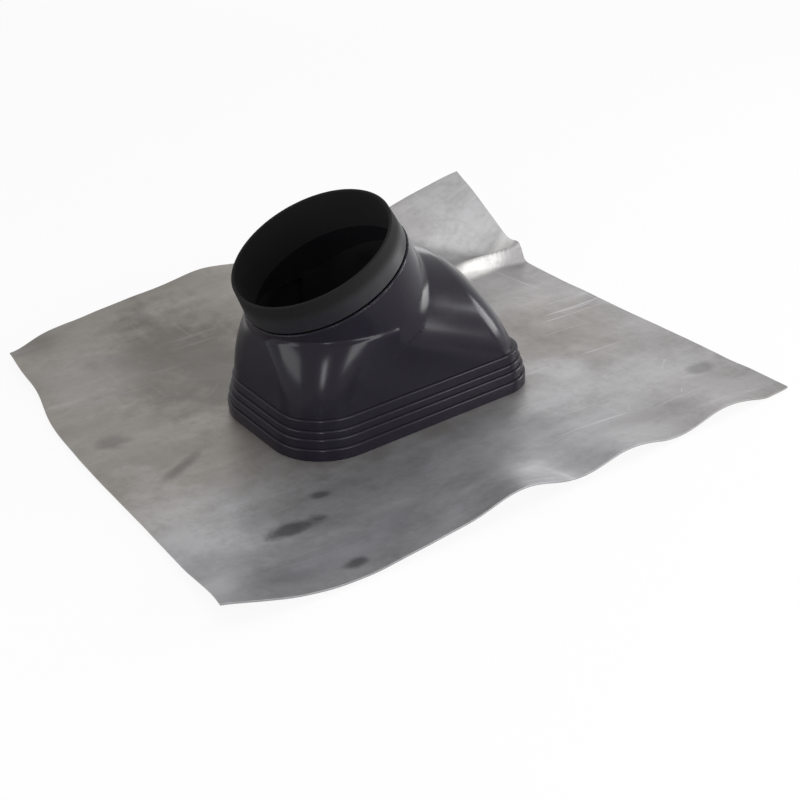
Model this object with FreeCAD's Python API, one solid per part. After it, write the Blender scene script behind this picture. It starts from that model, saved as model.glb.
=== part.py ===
"""Pipe flashing boot for a pitched roof: a moulded hood with an inclined pipe collar on a dressed lead sheet.

Frame: millimetres, +Z away from the roof, +X down the roof slope. The origin is the middle of the
sheet's outline, on the plane that the sheet lies on.
"""
import FreeCAD, Part
import math
import os

V = FreeCAD.Vector

# ---- driving dimensions (mm, degrees) ----

# Lead sheet: outline in plan, and how it is dressed
SHEET_T = 1.5
HALF_X = 268.0            # the outline's greatest half length, along the slope
HALF_Y = 248.5            # its greatest half width, across the slope
CUT_NEAR = 19.0           # trimmed off the near edge at its up-slope corner
EAR = 13.0                # how far that corner stands out from the up-slope edge
CUT_FAR = 26.0            # trimmed off the up-slope edge at its far corner
FLARE_DOWN = 19.0         # how far the down-slope edge flares out at its far corner
BOW_FAR = 85.0            # curvature of the far edge
BOW_FAR_AT = 0.42
POLES = 27                # control points of the sheet's surface, each way
FLAT_MARGIN = 20.0        # flat seat left round the hood's foot
SINK = 0.1                # the sheet starts this much low and is dressed flat on the roof plane
LIFT_NEAR = 2.0
LIFT_FAR = 15.0
LIFT_UP = 2.0
LIFT_DOWN = 2.0
WAVE = 5.0                # height and pitch of the waves along the long edges
WAVE_PITCH = 105.0
WAVE_AT = -30.0
CURL_LIFT = 13.0          # the curled near corner up the slope
CURL_SIZE = 50.0
DROOP = 13.0              # the drooping far corner up the slope
DROOP_SIZE = 26.0
FLAP_X = 253.0            # where the bent-up corner's crease meets the down-slope edge
FLAP_Y = 107.0
FLAP_TURN = 45.0          # the crease's angle to that edge, in plan
FLAP_SLOPE = 0.77
FLAP_EASE = 0.0019
FLAP_SOFT = 7.0
FOLD_LIFT = 8.0           # the rolled fold in front of the crease
FOLD_WIDTH = 9.0
FOLD_TURN = 77.0
FOLD_FADE = 70.0
LIP_H = 6.5               # turned-up lip round the opening, above the sheet
LIP_BEND = 1.4

# Hood: place on the sheet, foot, steps and walls
HOOD_X = -12.0
HOOD_Y = -29.5
WALL = 3.0
BASE_L = 232.0
BASE_W = 160.0
BASE_R_UP = 50.0
BASE_R_DOWN = 33.0
FOOT_H = 10.0
STEP_H = (8.0, 6.0, 8.5)
STEP_LEDGE = 2.0
EDGE_C = 1.0                # eased edge of each step
SHOULDER_Z = 92.0
SHOULDER_R = 12.0
SHOULDER_CORNER_R = 48.0
END_TAPER = 8.0           # how far the up-slope end leans in at the shoulder
RIDGE_Z = 143.5           # ridge height over the middle of the foot
RIDGE_FALL = 25.0
END_LEAN = 19.0
NOSE_R = 24.0
INNER_CHAMFER = 0.7       # inner chamfers, as a share of the round's radius less the wall
VAULT_BACK = 25.0         # the vault starts this far down the slope from the mouth's centre
SHOULDER_RUN = 45.0       # and the shoulder runs on under it to here

# Collar: the inclined pipe passage
TILT = 24.0
MOUTH_X = -50.0           # centre of the mouth, from the middle of the foot
MOUTH_Z = 146.0
PIPE_R = 65.5
PIPE_GAP = 0.5
RING_WALL = 2.5
RING_FLARE = 2.0
RING_H = 24.5
GROOVE = 1.6
SPIGOT_L = 13.0
SPIGOT_GAP = 0.2
SLEEVE_R = 71.5
SLEEVE_L = 52.0
RIM_R = 0.8

# Clamp frame and its screws
FIT = 0.2
FRAME_T = 2.5
FRAME_Z = 0.6
SCREW_R = 1.4
SCREW_HEAD_R = 2.8
SCREW_HEAD_H = 1.6
SCREW_END = 0.6
SCREWS_PER_SIDE = 2
SCREW_SPREAD = 0.75       # share of the foot's straight sides that they span

# ---- sizes that follow from them ----

SEAT_Z = SHEET_T
HOOD_STEPS = [FOOT_H] + list(STEP_H)
PLINTH_Z = SEAT_Z + sum(HOOD_STEPS)
HOOD_IN = STEP_LEDGE * len(HOOD_STEPS)
BORE_R = PIPE_R + PIPE_GAP
RING_R = BORE_R + RING_WALL
SPIGOT_R = RING_R
SOCKET_R = SPIGOT_R + SPIGOT_GAP
LIP_IN = WALL + FIT
FRAME_IN = LIP_IN + SHEET_T + FIT
LIP_TOP = SEAT_Z + LIP_H
TALL = 400.0


# ---- outlines and helpers ----

def rounded(inset, z):
    """Foot outline set in by `inset`, as a wire at height z."""
    x0 = -BASE_L / 2 + inset
    x1 = BASE_L / 2 - inset
    w = BASE_W / 2 - inset
    r0 = BASE_R_UP - inset
    r1 = BASE_R_DOWN - inset
    c = math.sqrt(0.5)
    a, b = V(x0 + r0, -w, z), V(x0, -w + r0, z)
    c0 = V(x0 + r0 * (1 - c), -w + r0 * (1 - c), z)
    d, e = V(x0, w - r0, z), V(x0 + r0, w, z)
    c1 = V(x0 + r0 * (1 - c), w - r0 * (1 - c), z)
    edges = [Part.Arc(a, c0, b).toShape(), Part.makeLine(b, d), Part.Arc(d, c1, e).toShape()]
    f, g = V(x1 - r1, w, z), V(x1, w - r1, z)
    c2 = V(x1 - r1 * (1 - c), w - r1 * (1 - c), z)
    h, k = V(x1, -w + r1, z), V(x1 - r1, -w, z)
    c3 = V(x1 - r1 * (1 - c), -w + r1 * (1 - c), z)
    edges += [Part.makeLine(e, f), Part.Arc(f, c2, g).toShape(), Part.makeLine(g, h)]
    edges += [Part.Arc(h, c3, k).toShape(), Part.makeLine(k, a)]
    return Part.Wire(edges)


def prism(wire, height):
    """Solid from a closed flat wire, raised along Z."""
    return Part.Face(wire).extrude(V(0, 0, height))


def place_collar(shape):
    """Moves a shape made round Z, with the mouth at z = 0, to the collar's inclined axis."""
    shape.rotate(V(0, 0, 0), V(0, 1, 0), -TILT)
    shape.translate(V(MOUTH_X, 0, MOUTH_Z))
    return shape


def turned(points):
    """Solid of revolution round Z from an (r, z) outline."""
    pts = [V(r, 0, z) for r, z in points]
    face = Part.Face(Part.makePolygon(pts + [pts[0]]))
    return face.revolve(V(0, 0, 0), V(0, 0, 1), 360)


def on_sheet(shape):
    """Moves a shape from the hood's own axes to its place on the sheet."""
    shape.translate(V(HOOD_X, HOOD_Y, 0))
    return shape


# ---- hood ----

def upright(edge):
    """True for a straight edge that runs up, not across."""
    a, b = edge.valueAt(edge.FirstParameter), edge.valueAt(edge.LastParameter)
    return edge.Curve.TypeId == "Part::GeomLine" and abs(b.z - a.z) > 0.5 * edge.Length


def above(z):
    """Block that holds everything over the height z."""
    return Part.makeBox(2 * TALL, 2 * TALL, TALL, V(-TALL, -TALL, z))


def soften(body, edges, radius, inset):
    """Rounds the outer shell's edges. Inside, a chamfer keeps the wall behind that round."""
    if inset == 0:
        return body.makeFillet(radius, edges)
    return body.makeChamfer(INNER_CHAMFER * (radius - inset), edges)


def vault(inset):
    """Half-round roof that falls down the slope and ends in a leaning, rounded nose."""
    r = BASE_W / 2 - HOOD_IN
    w = r - inset
    fall = math.radians(RIDGE_FALL)
    down = V(math.cos(fall), 0, -math.sin(fall))
    up = V(math.sin(fall), 0, math.cos(fall))
    start = V(0, 0, RIDGE_Z - r / math.cos(fall)) - down * TALL
    left, right = start - V(0, w, 0), start + V(0, w, 0)
    edges = [
        Part.makeLine(left - up * TALL, left),
        Part.Arc(left, start + up * w, right).toShape(),
        Part.makeLine(right, right - up * TALL),
        Part.makeLine(right - up * TALL, left - up * TALL),
    ]
    tunnel = Part.Face(Part.Wire(edges)).extrude(down * 2 * TALL)
    lean = math.tan(math.radians(END_LEAN))
    x0 = MOUTH_X + VAULT_BACK + inset
    x1 = BASE_L / 2 - HOOD_IN - inset / math.cos(math.radians(END_LEAN))
    side = [
        V(x0, -TALL, -TALL),
        V(x1 + (PLINTH_Z + TALL) * lean, -TALL, -TALL),
        V(x1 - (TALL - PLINTH_Z) * lean, -TALL, TALL),
        V(x0, -TALL, TALL),
    ]
    body = tunnel.common(Part.Face(Part.makePolygon(side + [side[0]])).extrude(V(0, 2 * TALL, 0)))

    def on_end(edge):
        ends = [edge.valueAt(t) for t in (edge.FirstParameter, edge.LastParameter)]
        if max(abs(p.x - (x1 + (PLINTH_Z - p.z) * lean)) for p in ends) > 0.01:
            return False
        return edge.Curve.TypeId != "Part::GeomLine" or upright(edge)

    body = soften(body, [e for e in body.Edges if on_end(e)], NOSE_R, inset)
    return body.common(above(PLINTH_Z if inset == 0 else PLINTH_Z - STEP_H[-1] - WALL))


def shoulder(inset):
    """Up-slope end of the hood: a box that leans in a little, with rounded corners and a soft top edge."""
    lean = math.degrees(math.atan(END_TAPER / (SHOULDER_Z - PLINTH_Z)))
    width = BASE_W - 2 * HOOD_IN - 2 * inset
    length = BASE_L / 2 - HOOD_IN + MOUTH_X + SHOULDER_RUN - inset
    height = 2 * (SHOULDER_Z - PLINTH_Z) - inset
    body = Part.makeBox(length, width, height, V(inset, -width / 2, -(SHOULDER_Z - PLINTH_Z)))
    corners = [e for e in body.Edges if upright(e) and e.CenterOfMass.x < inset + 0.01]
    body = body.makeFillet(SHOULDER_CORNER_R - inset, corners)
    rim = [e for e in body.Edges if e.BoundBox.ZMin > height / 2 - inset / 2 - 0.01
           and e.CenterOfMass.x < inset + length - 0.01]
    body = soften(body, rim, SHOULDER_R, inset)
    body.rotate(V(0, 0, 0), V(0, 1, 0), lean)
    body.translate(V(HOOD_IN - BASE_L / 2, 0, PLINTH_Z))
    return body.common(above(PLINTH_Z if inset == 0 else PLINTH_Z - STEP_H[-1] - WALL))


def plinth():
    """Stepped foot, each step set in and its top edge eased."""
    body = None
    z = SEAT_Z
    for i, h in enumerate(HOOD_STEPS):
        slab = prism(rounded(i * STEP_LEDGE, SEAT_Z), z + h - SEAT_Z)
        z += h
        top = [e for e in slab.Edges if min(v.Z for v in e.Vertexes) > z - 0.01]
        slab = slab.makeChamfer(EDGE_C, top)
        body = slab if body is None else body.fuse(slab)
    return body


def plinth_hollow():
    """Room inside the stepped foot: one hollow under its lowest step and one under the others."""
    low = prism(rounded(WALL, 0), SEAT_Z + FOOT_H - WALL)
    top_step = (len(HOOD_STEPS) - 2) * STEP_LEDGE
    return low.fuse(prism(rounded(top_step + WALL, 0), PLINTH_Z - STEP_H[-1] - WALL))


def make_hood():
    """The moulded hood: stepped foot, shoulder, falling vault and inclined sleeve, one wall thick."""
    sleeve_top = -RING_H - GROOVE
    sleeve = Part.makeCylinder(SLEEVE_R, SLEEVE_L, V(0, 0, sleeve_top - SLEEVE_L))
    sleeve = sleeve.makeChamfer(EDGE_C, [e for e in sleeve.Edges if e.Vertexes[0].Z > sleeve_top - 0.01
                                         and len(e.Vertexes) == 1])
    outer = plinth().fuse([shoulder(0), vault(0), place_collar(sleeve)])
    seat = -RING_H - SPIGOT_L
    bore = turned([(0, 1), (SOCKET_R, 1), (SOCKET_R, seat), (BORE_R, seat), (BORE_R, -90), (0, -90)])
    hollow = plinth_hollow().fuse([shoulder(WALL), vault(WALL)])
    body = outer.cut([hollow, place_collar(bore)])
    return body.removeSplitter()


def make_ring():
    """Collar ring: a drafted band with a spigot that seats in the sleeve."""
    low = -RING_H
    foot = low - SPIGOT_L
    return place_collar(turned([
        (BORE_R + RIM_R, 0), (RING_R - RIM_R, 0), (RING_R, -RIM_R), (RING_R + RING_FLARE, low),
        (SPIGOT_R, low), (SPIGOT_R, foot), (BORE_R, foot), (BORE_R, -RIM_R),
    ]))


# ---- lead sheet ----

def ramp(t):
    """0 below 0, rising smoothly: t squared."""
    return max(0.0, t) ** 2


def sheet_lift(x, y):
    """Height of the sheet's underside over the roof plane at (x, y)."""
    near = HOOD_Y - BASE_W / 2 - FLAT_MARGIN
    far = HOOD_Y + BASE_W / 2 + FLAT_MARGIN
    up = HOOD_X - BASE_L / 2 - FLAT_MARGIN
    down = HOOD_X + BASE_L / 2 + FLAT_MARGIN
    wave = WAVE * (1 + math.cos(2 * math.pi * (x - WAVE_AT) / WAVE_PITCH))
    wave *= 0.5 + 0.5 * math.tanh((x - WAVE_AT + WAVE_PITCH / 2) / (0.4 * WAVE_PITCH))
    z = ramp((near - y) / (near + HALF_Y)) * (LIFT_NEAR + wave)
    z += ramp((y - far) / (HALF_Y - far)) * (LIFT_FAR + wave / 2)
    z += ramp((up - x) / (up + HALF_X)) * LIFT_UP
    z += ramp((x - down) / (HALF_X - down)) * LIFT_DOWN
    z += bump(math.hypot(x + HALF_X, y + HALF_Y - CUT_NEAR) / CURL_SIZE) * CURL_LIFT
    z -= bump(math.hypot(x + HALF_X - EAR - CUT_FAR, y - HALF_Y) / DROOP_SIZE) * DROOP
    return math.hypot(max(0.0, z), flap_lift(x, y)) + fold_lift(x, y)


def bump(t):
    """Bell of height 1 that has died out at t = 2."""
    return math.exp(-t * t) if t < 2 else 0.0


def past_line(x, y, turn):
    """Distance of (x, y) past a line through the crease's end that makes the angle `turn` with the edge."""
    a = math.radians(turn)
    return (x - FLAP_X) * math.cos(a) + (y - FLAP_Y) * math.sin(a)


def flap_lift(x, y):
    """The far corner down the slope, bent up beyond its crease and easing off towards its tip."""
    past = past_line(x, y, FLAP_TURN)
    if past < -4 * FLAP_SOFT:
        return 0.0
    rise = 0.5 * (past + math.hypot(past, FLAP_SOFT))
    rise *= 0.5 + 0.5 * math.tanh((past + 2 * FLAP_SOFT) / FLAP_SOFT)
    return FLAP_SLOPE * rise - FLAP_EASE * rise ** 2


def fold_lift(x, y):
    """A rolled fold in front of the crease, which dies out up the slope."""
    across = past_line(x, y, FOLD_TURN) / FOLD_WIDTH
    return FOLD_LIFT * bump(across) * bump(max(0.0, FLAP_X - x) / FOLD_FADE)


def sheet_point(u, v):
    """Point of the sheet's underside: u runs down the slope, v across it, both 0 to 1."""
    x_up = -HALF_X + EAR * (1 - (1 - v) ** 8) + CUT_FAR * v ** 4
    x_down = HALF_X - FLARE_DOWN * (1 - v ** 6)
    y_near = -HALF_Y + CUT_NEAR * (1 - u) ** 10
    y_far = HALF_Y - BOW_FAR * (u - BOW_FAR_AT) ** 2
    x = x_up + u * (x_down - x_up)
    y = y_near + v * (y_far - y_near)
    return V(x, y, sheet_lift(x, y))


def sheet_surface(raised):
    """Smooth surface whose control points follow sheet_point, raised by a height."""
    spans = POLES - 3
    knots = [i / spans for i in range(spans + 1)]
    mults = [4] + [1] * (spans - 1) + [4]
    full = [0.0] * 3 + knots + [1.0] * 3
    at = [sum(full[i + 1:i + 4]) / 3 for i in range(POLES)]
    poles = [[sheet_point(u, v) + V(0, 0, raised) for v in at] for u in at]
    surface = Part.BSplineSurface()
    surface.buildFromPolesMultsKnots(poles, mults, mults, knots, knots, False, False, 3, 3)
    return surface.toShape()


def make_sheet():
    """Lead sheet: dressed outline, opening under the hood and a turned-up lip round the opening."""
    low, high = sheet_surface(-SINK), sheet_surface(SHEET_T)
    sides = [Part.makeRuledSurface(a, b) for a, b in zip(low.Edges, high.Edges)]
    shell = Part.makeShell([low, high] + sides)
    shell.sewShape()
    body = Part.makeSolid(shell)
    if body.Volume < 0:
        body.reverse()
    body = body.cut(above(-TALL))
    boss = on_sheet(prism(rounded(LIP_IN, SHEET_T / 2), LIP_TOP - SHEET_T / 2))
    hole = on_sheet(prism(rounded(LIP_IN + SHEET_T, -1), LIP_TOP + 2))
    body = body.fuse(boss).cut(hole)
    bend = [e for e in body.Edges if max(v.Z for v in e.Vertexes) < 0.01 and e.BoundBox.DiagonalLength < BASE_L
            and abs(e.CenterOfMass.x - HOOD_X) < BASE_L / 2 and abs(e.CenterOfMass.y - HOOD_Y) < BASE_W / 2]
    return body.makeChamfer(LIP_BEND, bend)


# ---- clamp frame and screws ----

def screw_stations():
    """(x, y, turn) of each screw on the clamp frame's inner face; turn is the way it points, about Z."""
    w = BASE_W / 2 - FRAME_IN - FRAME_T
    spread = (BASE_L - BASE_R_UP - BASE_R_DOWN) / 2 * SCREW_SPREAD
    mid = (BASE_R_UP - BASE_R_DOWN) / 2
    out = []
    for i in range(SCREWS_PER_SIDE):
        x = mid + spread * (2 * i / (SCREWS_PER_SIDE - 1) - 1)
        out += [(x, -w, -90.0), (x, w, 90.0)]
    return out


def screw_z():
    return (SEAT_Z + LIP_TOP) / 2


def along(shape, station):
    """Lays a shape made round +X at a screw station."""
    x, y, turn = station
    shape.rotate(V(0, 0, 0), V(0, 0, 1), turn)
    shape.translate(V(x, y, screw_z()))
    return shape


def screw_hole(radius, length):
    return Part.makeCylinder(radius, length, V(-1, 0, 0), V(1, 0, 0))


def make_frame():
    """Clamp frame: the band inside the lip."""
    band = prism(rounded(FRAME_IN, FRAME_Z), LIP_TOP - FRAME_Z)
    return on_sheet(band.cut(prism(rounded(FRAME_IN + FRAME_T, -1), TALL)))


def make_screws():
    """Flat-headed screws from the frame, through the lip, into the hood's foot."""
    length = FRAME_T + FIT + SHEET_T + FIT + WALL - SCREW_END
    screws = []
    for s in screw_stations():
        shank = Part.makeCylinder(SCREW_R, length, V(0, 0, 0), V(1, 0, 0))
        head = Part.makeCylinder(SCREW_HEAD_R, SCREW_HEAD_H, V(-SCREW_HEAD_H, 0, 0), V(1, 0, 0))
        screws.append(along(shank.fuse(head), s))
    return on_sheet(Part.makeCompound(screws))


def drill(shape, depth):
    """Drills the screws' holes, that deep from the clamp frame's inner face."""
    return shape.cut([on_sheet(along(screw_hole(SCREW_R, 1 + depth), s)) for s in screw_stations()])


def main():
    os.makedirs("parts", exist_ok=True)
    through = FRAME_T + FIT + SHEET_T + FIT
    parts = {
        "lead_sheet": drill(make_sheet(), through),
        "hood": drill(on_sheet(make_hood()), through + WALL - SCREW_END),
        "collar_ring": on_sheet(make_ring()),
        "clamp_frame": drill(make_frame(), through),
        "clamp_screws": make_screws(),
    }
    for name, shape in parts.items():
        shape.exportStep("parts/" + name + ".step")
        box = shape.BoundBox
        print(name, "solids", len(shape.Solids), "valid", shape.isValid(), "cm3", round(shape.Volume / 1000, 1),
              "box", [round(v, 1) for v in (box.XMin, box.YMin, box.ZMin, box.XMax, box.YMax, box.ZMax)])


main()
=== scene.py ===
# %% [markdown]
# # A pipe flashing boot on its dressed lead sheet
#
# A flashing boot keeps the rain out where a pipe comes through a roof. A sheet of lead is dressed over the
# tiles, and a moulded hood that is clamped to it carries a collar for the pipe.
#
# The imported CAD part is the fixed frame: every solid is in place before this script starts. The script
# adds the look. It draws the hood and the sheet again as smoother and denser pieces in the same space, and
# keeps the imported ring, clamp frame and screws. Each piece gets a material built from shader nodes, and
# the whole stands in a pale studio.
#
# Scene lengths are in metres. +X runs down the roof slope, +Y to the far side and +Z away from the roof.

import math

import bpy
import numpy as np
from mathutils import Matrix, Vector


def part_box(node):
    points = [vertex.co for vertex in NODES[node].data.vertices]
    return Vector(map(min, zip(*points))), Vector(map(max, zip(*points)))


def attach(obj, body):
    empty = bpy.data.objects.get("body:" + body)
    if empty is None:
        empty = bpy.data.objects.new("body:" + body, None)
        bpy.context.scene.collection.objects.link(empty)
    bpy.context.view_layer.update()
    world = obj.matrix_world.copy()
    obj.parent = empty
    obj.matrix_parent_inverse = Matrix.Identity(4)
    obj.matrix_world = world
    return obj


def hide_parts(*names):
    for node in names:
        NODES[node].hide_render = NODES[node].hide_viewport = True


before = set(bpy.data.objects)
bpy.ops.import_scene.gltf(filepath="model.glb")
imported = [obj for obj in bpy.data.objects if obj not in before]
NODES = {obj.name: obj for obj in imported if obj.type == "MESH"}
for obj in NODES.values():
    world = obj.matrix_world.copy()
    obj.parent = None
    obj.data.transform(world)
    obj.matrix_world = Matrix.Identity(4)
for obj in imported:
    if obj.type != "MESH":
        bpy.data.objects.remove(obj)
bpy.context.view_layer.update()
print("packed solids:", ", ".join(sorted(NODES)))

# %% [markdown]
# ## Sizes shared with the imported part
#
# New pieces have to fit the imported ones. The sheet and the hood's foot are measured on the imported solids,
# which is safer than typing their sizes again. What a box can't tell is written here as the part has it:
# the sheet's thickness, the radii of the foot's corners, and the collar's tilt and place.

# %% Sizes
MM = 0.001

sheet_low, sheet_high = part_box("lead_sheet")
hood_low, hood_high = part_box("hood")
HALF_X = (sheet_high.x - sheet_low.x) / 2
HALF_Y = (sheet_high.y - sheet_low.y) / 2
FOOT_MID = ((hood_low.x + hood_high.x) / 2, (hood_low.y + hood_high.y) / 2)
FOOT_L = hood_high.x - hood_low.x
FOOT_W = hood_high.y - hood_low.y
THICK = 1.5 * MM
FOOT_R_UP = 50 * MM
FOOT_R_DOWN = 33 * MM

# The collar leans up the slope by TILT. MOUTH is x and z of its mouth, in millimetres from the foot's middle.
TILT = math.radians(24.0)
MOUTH = (-50.0, 146.0)
print(f"foot {FOOT_L / MM:.1f} x {FOOT_W / MM:.1f} mm on a sheet of {2 * HALF_X / MM:.1f} x "
      f"{2 * HALF_Y / MM:.1f} mm")

# %% [markdown]
# ## From numbers to a piece
#
# Every new piece starts as two arrays: points, and faces that name four points each. foreach_set copies a
# whole array into a mesh in one call. A loop that adds vertices one by one would give the same mesh, but
# for a hundred thousand points it is slow. The piece rides on the one rigid body of the part, and wears
# the finish that it is given.

# %% Piece helper
def make_piece(name, points, faces, material):
    """Smooth mesh from arrays of points (metres) and quads; it rides on the part."""
    mesh = bpy.data.meshes.new(name)
    mesh.vertices.add(len(points))
    mesh.vertices.foreach_set("co", np.asarray(points, np.float32).ravel())
    faces = np.asarray(faces, np.int32)
    mesh.loops.add(faces.size)
    mesh.loops.foreach_set("vertex_index", faces.ravel())
    mesh.polygons.add(len(faces))
    mesh.polygons.foreach_set("loop_start", np.arange(0, faces.size, faces.shape[1], dtype=np.int32))
    mesh.update(calc_edges=True)
    mesh.validate()
    mesh.polygons.foreach_set("use_smooth", np.ones(len(mesh.polygons), bool))
    mesh.materials.append(material)
    piece = bpy.data.objects.new(name, mesh)
    bpy.context.scene.collection.objects.link(piece)
    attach(piece, "root")
    size = np.ptp(points, axis=0) / MM
    print(f"{name}: {len(faces)} faces, {size[0]:.0f} x {size[1]:.0f} x {size[2]:.0f} mm")
    return piece


def level(plan, z):
    """Points of a plan (x, y) at a height z, which is one number or one for each point."""
    return np.column_stack([plan, np.broadcast_to(z, len(plan))])


def ring_quads(turns, count, flipped=False):
    """Faces of a skin that closes both ways: point j of ring i is number i * count + j."""
    i, j = np.meshgrid(np.arange(turns), np.arange(count), indexing="ij")
    ni, nj = (i + 1) % turns, (j + 1) % count
    here, beside = i * count + j, i * count + nj
    ahead, across = ni * count + j, ni * count + nj
    corners = (here, ahead, across, beside) if flipped else (here, beside, across, ahead)
    return np.stack(corners, -1).reshape(-1, 4)

# %% [markdown]
# ## Building shaders in code
#
# A material is a small tree of nodes. Written node by node it gets long, so a few helpers make the nodes
# that come back again and again: arithmetic, noise, a smooth ramp, a mix of two colours and a bump. Each
# takes numbers or the outputs of other nodes, so calls can be nested like plain arithmetic.

# %% Node helpers
def node(tree, kind, links=(), **values):
    """Adds a node, sets its properties by name, and links (input, output socket) pairs."""
    made = tree.nodes.new(kind)
    for key, value in values.items():
        setattr(made, key, value)
    for key, source in links:
        if hasattr(source, "is_output"):
            tree.links.new(source, made.inputs[key])
        else:
            made.inputs[key].default_value = source
    return made


def maths(tree, operation, a, b):
    """Math node's output: operation on a and b."""
    return node(tree, "ShaderNodeMath", [(0, a), (1, b)], operation=operation).outputs[0]


def vectors(tree, operation, a, b):
    """Vector Math node's output: operation on a and b."""
    return node(tree, "ShaderNodeVectorMath", [(0, a), (1, b)], operation=operation).outputs[0]


def length_of(tree, vector):
    """Length of a vector."""
    return node(tree, "ShaderNodeVectorMath", [(0, vector)], operation="LENGTH").outputs["Value"]


def turned(tree, vector, angle):
    """Vector turned about Z."""
    links = [("Vector", vector), ("Angle", angle)]
    return node(tree, "ShaderNodeVectorRotate", links, rotation_type="Z_AXIS").outputs[0]


def noise(tree, where, scale, detail, roughness=0.5, distortion=0.0):
    """Noise, 0.5 on average, with `detail` finer layers over its own size of 1 / scale metres."""
    links = [("Vector", where), ("Scale", scale), ("Detail", detail), ("Roughness", roughness),
             ("Distortion", distortion)]
    return node(tree, "ShaderNodeTexNoise", links).outputs[0]


def spread(tree, value, low, high, to_low=0.0, to_high=1.0):
    """Maps low..high to to_low..to_high by 3t^2 - 2t^3, and holds the ends."""
    links = [("Value", value), ("From Min", low), ("From Max", high), ("To Min", to_low),
             ("To Max", to_high)]
    return node(tree, "ShaderNodeMapRange", links, interpolation_type="SMOOTHSTEP").outputs["Result"]


def tone_mix(tree, amount, low, high):
    """Colour between low and high by amount; each is a colour or an output."""
    ends = [end if hasattr(end, "is_output") else (*end, 1.0) for end in (low, high)]
    links = [(0, amount), (6, ends[0]), (7, ends[1])]
    return node(tree, "ShaderNodeMix", links, data_type="RGBA").outputs[2]


def bump(tree, height, strength, distance, under=None):
    """Normal from a height, on top of a coarser bump if one is given."""
    links = [("Strength", strength), ("Distance", distance), ("Height", height)]
    if under is not None:
        links.append(("Normal", under))
    return node(tree, "ShaderNodeBump", links).outputs[0]


def new_material(name, color):
    """Material with a bare Principled shader: gives it, its tree, the shader and Object coordinates."""
    material = bpy.data.materials.new(name)
    material.use_nodes = True
    material.diffuse_color = (*color, 1.0)
    tree = material.node_tree
    shader = tree.nodes["Principled BSDF"]
    where = tree.nodes.new("ShaderNodeTexCoord").outputs["Object"]
    return material, tree, shader, where


def name_and_nodes(material):
    """A material's name and how many nodes it has, to print."""
    return f"material {material.name}: {len(material.node_tree.nodes)} nodes"

# %% [markdown]
# ## Effects that finishes share
#
# Tarnish, scratches, smudges and the skin of a moulding each come back in more than one place. An effect
# could be copied into every material, but a node group is built once and placed with its own values. The
# groups put out masks, values and normals only, and the shader stays in the material itself.

# %% Group helpers
ORIGIN = (0.0, 0.0, 0.0)


def new_group(name, inputs, outputs):
    """Empty shader node group with its sockets: inputs are (name, value), outputs are (name, kind)."""
    tree = bpy.data.node_groups.new(name, "ShaderNodeTree")
    for label, value in inputs:
        kind = "NodeSocketVector" if isinstance(value, tuple) else "NodeSocketFloat"
        tree.interface.new_socket(label, in_out="INPUT", socket_type=kind).default_value = value
    for label, kind in outputs:
        tree.interface.new_socket(label, in_out="OUTPUT", socket_type=kind)
    start = tree.nodes.new("NodeGroupInput")
    end = tree.nodes.new("NodeGroupOutput")
    return tree, start.outputs, end.inputs


def use_group(tree, group, links):
    """Places a node group, links its inputs and gives its outputs."""
    return node(tree, "ShaderNodeGroup", links, node_tree=group).outputs


def group_made(tree):
    """Says what a finished group takes and gives, and hands it on."""
    sockets = [item.name for item in tree.interface.items_tree]
    print(f"group {tree.name}: {', '.join(sockets)}")
    return tree

# %% Cloudy tone
FINE_TIMES = 5.3


def make_cloud_group():
    """Cloudy tone: wide noise mixed with noise FINE_TIMES finer by the fine share."""
    inputs = [("Vector", ORIGIN), ("Scale", 10.0), ("Fine share", 0.4)]
    tree, given, out = new_group("Cloudy tone", inputs, [("Tone", "NodeSocketFloat")])
    big = noise(tree, given["Vector"], given["Scale"], detail=4.0, roughness=0.55, distortion=0.4)
    fine_scale = maths(tree, "MULTIPLY", given["Scale"], FINE_TIMES)
    fine = noise(tree, given["Vector"], fine_scale, detail=5.0, roughness=0.6)
    mix = node(tree, "ShaderNodeMix", [(0, given["Fine share"]), (2, big), (3, fine)])
    tree.links.new(mix.outputs[0], out["Tone"])
    return tree


CLOUD = group_made(make_cloud_group())

# %% Soft patch
PATCH_FULL, PATCH_GONE = 0.3, 1.3


def make_patch_group():
    """Soft patch: 1 where |turned (p - place) / size| + ragged noise is small, 0 past it; no z is read."""
    inputs = [("Vector", ORIGIN), ("Place", ORIGIN), ("Size", (0.1, 0.1, 0.1)), ("Turn", 0.0),
              ("Ragged", 1.0)]
    tree, given, out = new_group("Soft patch", inputs, [("Mask", "NodeSocketFloat")])
    off = vectors(tree, "SUBTRACT", given["Vector"], given["Place"])
    flat = vectors(tree, "MULTIPLY", turned(tree, off, given["Turn"]), (1.0, 1.0, 0.0))
    far = length_of(tree, vectors(tree, "DIVIDE", flat, given["Size"]))
    rim = noise(tree, given["Vector"], scale=34.0, detail=5.0, roughness=0.6)
    rim = maths(tree, "SUBTRACT", rim, 0.5)
    far = maths(tree, "ADD", far, maths(tree, "MULTIPLY", rim, given["Ragged"]))
    tree.links.new(spread(tree, far, PATCH_GONE, PATCH_FULL), out["Mask"])
    return tree


PATCH = group_made(make_patch_group())

# %% Fine scratches
RAREST_PEAK, PEAK_PER_SHARE, PEAK_EDGE = 0.78, 0.3, 0.05
SCATTER = (0.42, 0.62)


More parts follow.
